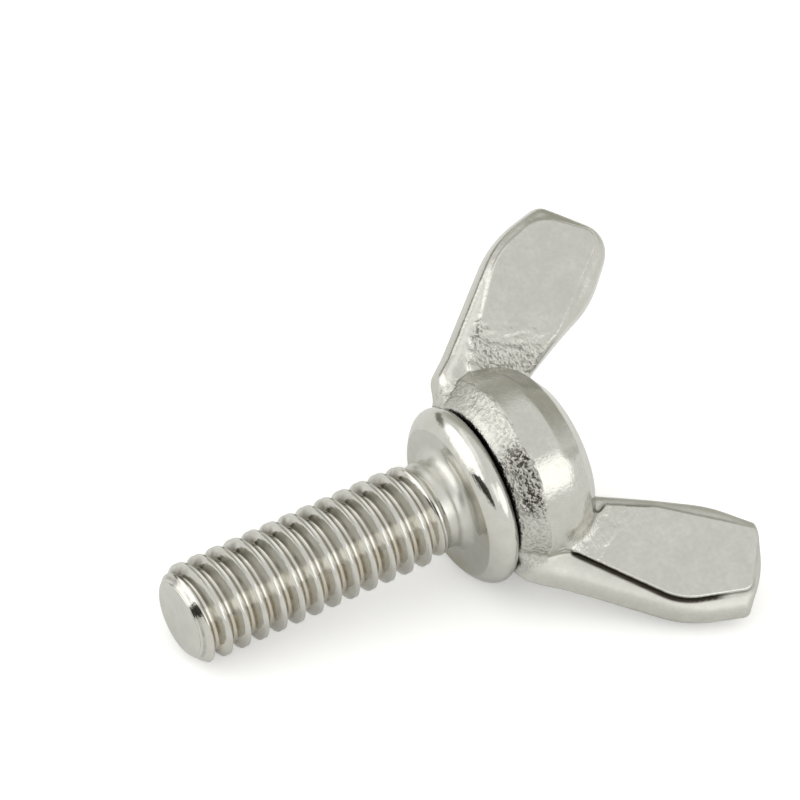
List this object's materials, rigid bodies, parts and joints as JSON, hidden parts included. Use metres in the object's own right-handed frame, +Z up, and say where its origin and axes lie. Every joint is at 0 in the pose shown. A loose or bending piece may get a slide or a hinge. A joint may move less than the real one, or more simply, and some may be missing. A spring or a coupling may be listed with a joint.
{
  "type": "wing screw",
  "caption": "Wing screw: a threaded stud with a solid collar, pressed into a cast head with a round hub and two rounded wings.",
  "frame": {"origin": "centre of the part's footprint, on the surface that it lies on", "axes": "+Z up; +X along the screw's ground line, from the thread's tip towards the wings; the screw lies on its tip, its hub and the -Y wing"},
  "size_m": [0.0364, 0.0256, 0.0149],
  "materials": {
    "stud_metal": "bright nickel plate over rolled steel",
    "head_metal": "bright nickel plate over an as-cast skin with ground facets"
  },
  "bodies": {
    "root": {"flanged_stud": "stud_metal", "wing_head": "head_metal"}
  },
  "joints": []
}
